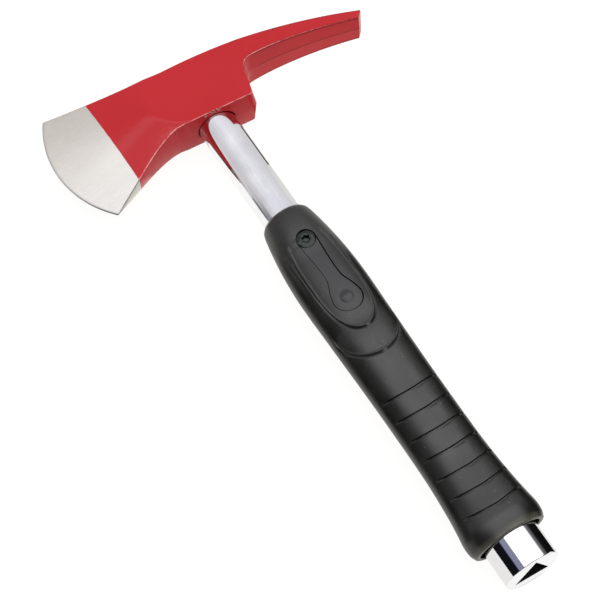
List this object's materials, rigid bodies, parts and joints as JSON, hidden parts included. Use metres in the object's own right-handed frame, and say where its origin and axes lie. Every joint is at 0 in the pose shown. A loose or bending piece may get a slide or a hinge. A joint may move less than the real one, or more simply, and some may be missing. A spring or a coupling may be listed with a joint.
{
  "type": "fire service hatchet",
  "caption": "Hatchet with a red forged head, blade and pry pick, chromed tube handle, black rubber grip with thumb latch, and a triangular key socket in the handle end.",
  "frame": {"origin": "middle of the whole hatchet seen from above, on the surface under the lowest point of the grip's pommel", "axes": "+Y from the key socket to the head, +X from the blade to the pick, +Z out of the cheek on the thumb latch's side"},
  "size_m": [0.2108, 0.397, 0.0405],
  "materials": {
    "red_paint": "satin enamel over forged steel, ground bare at the blade",
    "chrome_plate": "bright plated",
    "black_rubber": "matt moulded",
    "black_plastic": "moulded",
    "tongue_plastic": "matt moulded, a shade lighter than the grip",
    "dark_steel": "blackened",
    "plain_steel": "turned, oiled",
    "braze": "as brazed"
  },
  "bodies": {
    "hatchet": {"axe_head": "red_paint", "handle_tube": "chrome_plate", "expander_plug": "dark_steel", "braze_ring": "braze", "grip_core": "black_plastic", "grip_sleeve": "black_rubber", "tongue_screw": "dark_steel", "spacer_bush": "plain_steel", "rivet_nut": "braze", "key_socket": "chrome_plate", "tube_insert": "plain_steel", "socket_pin": "plain_steel"},
    "latch": {"latch_tongue": "tongue_plastic", "latch_peg": "plain_steel"}
  },
  "joints": [
    {"name": "latch_press", "type": "hinge", "parent": "hatchet", "child": "latch", "pos_m": [-0.0069, 0.03705, 0.03415], "axis": [1, 0, 0], "range_deg": [0, 2], "stiffness_Nm_per_rad": 19}
  ]
}
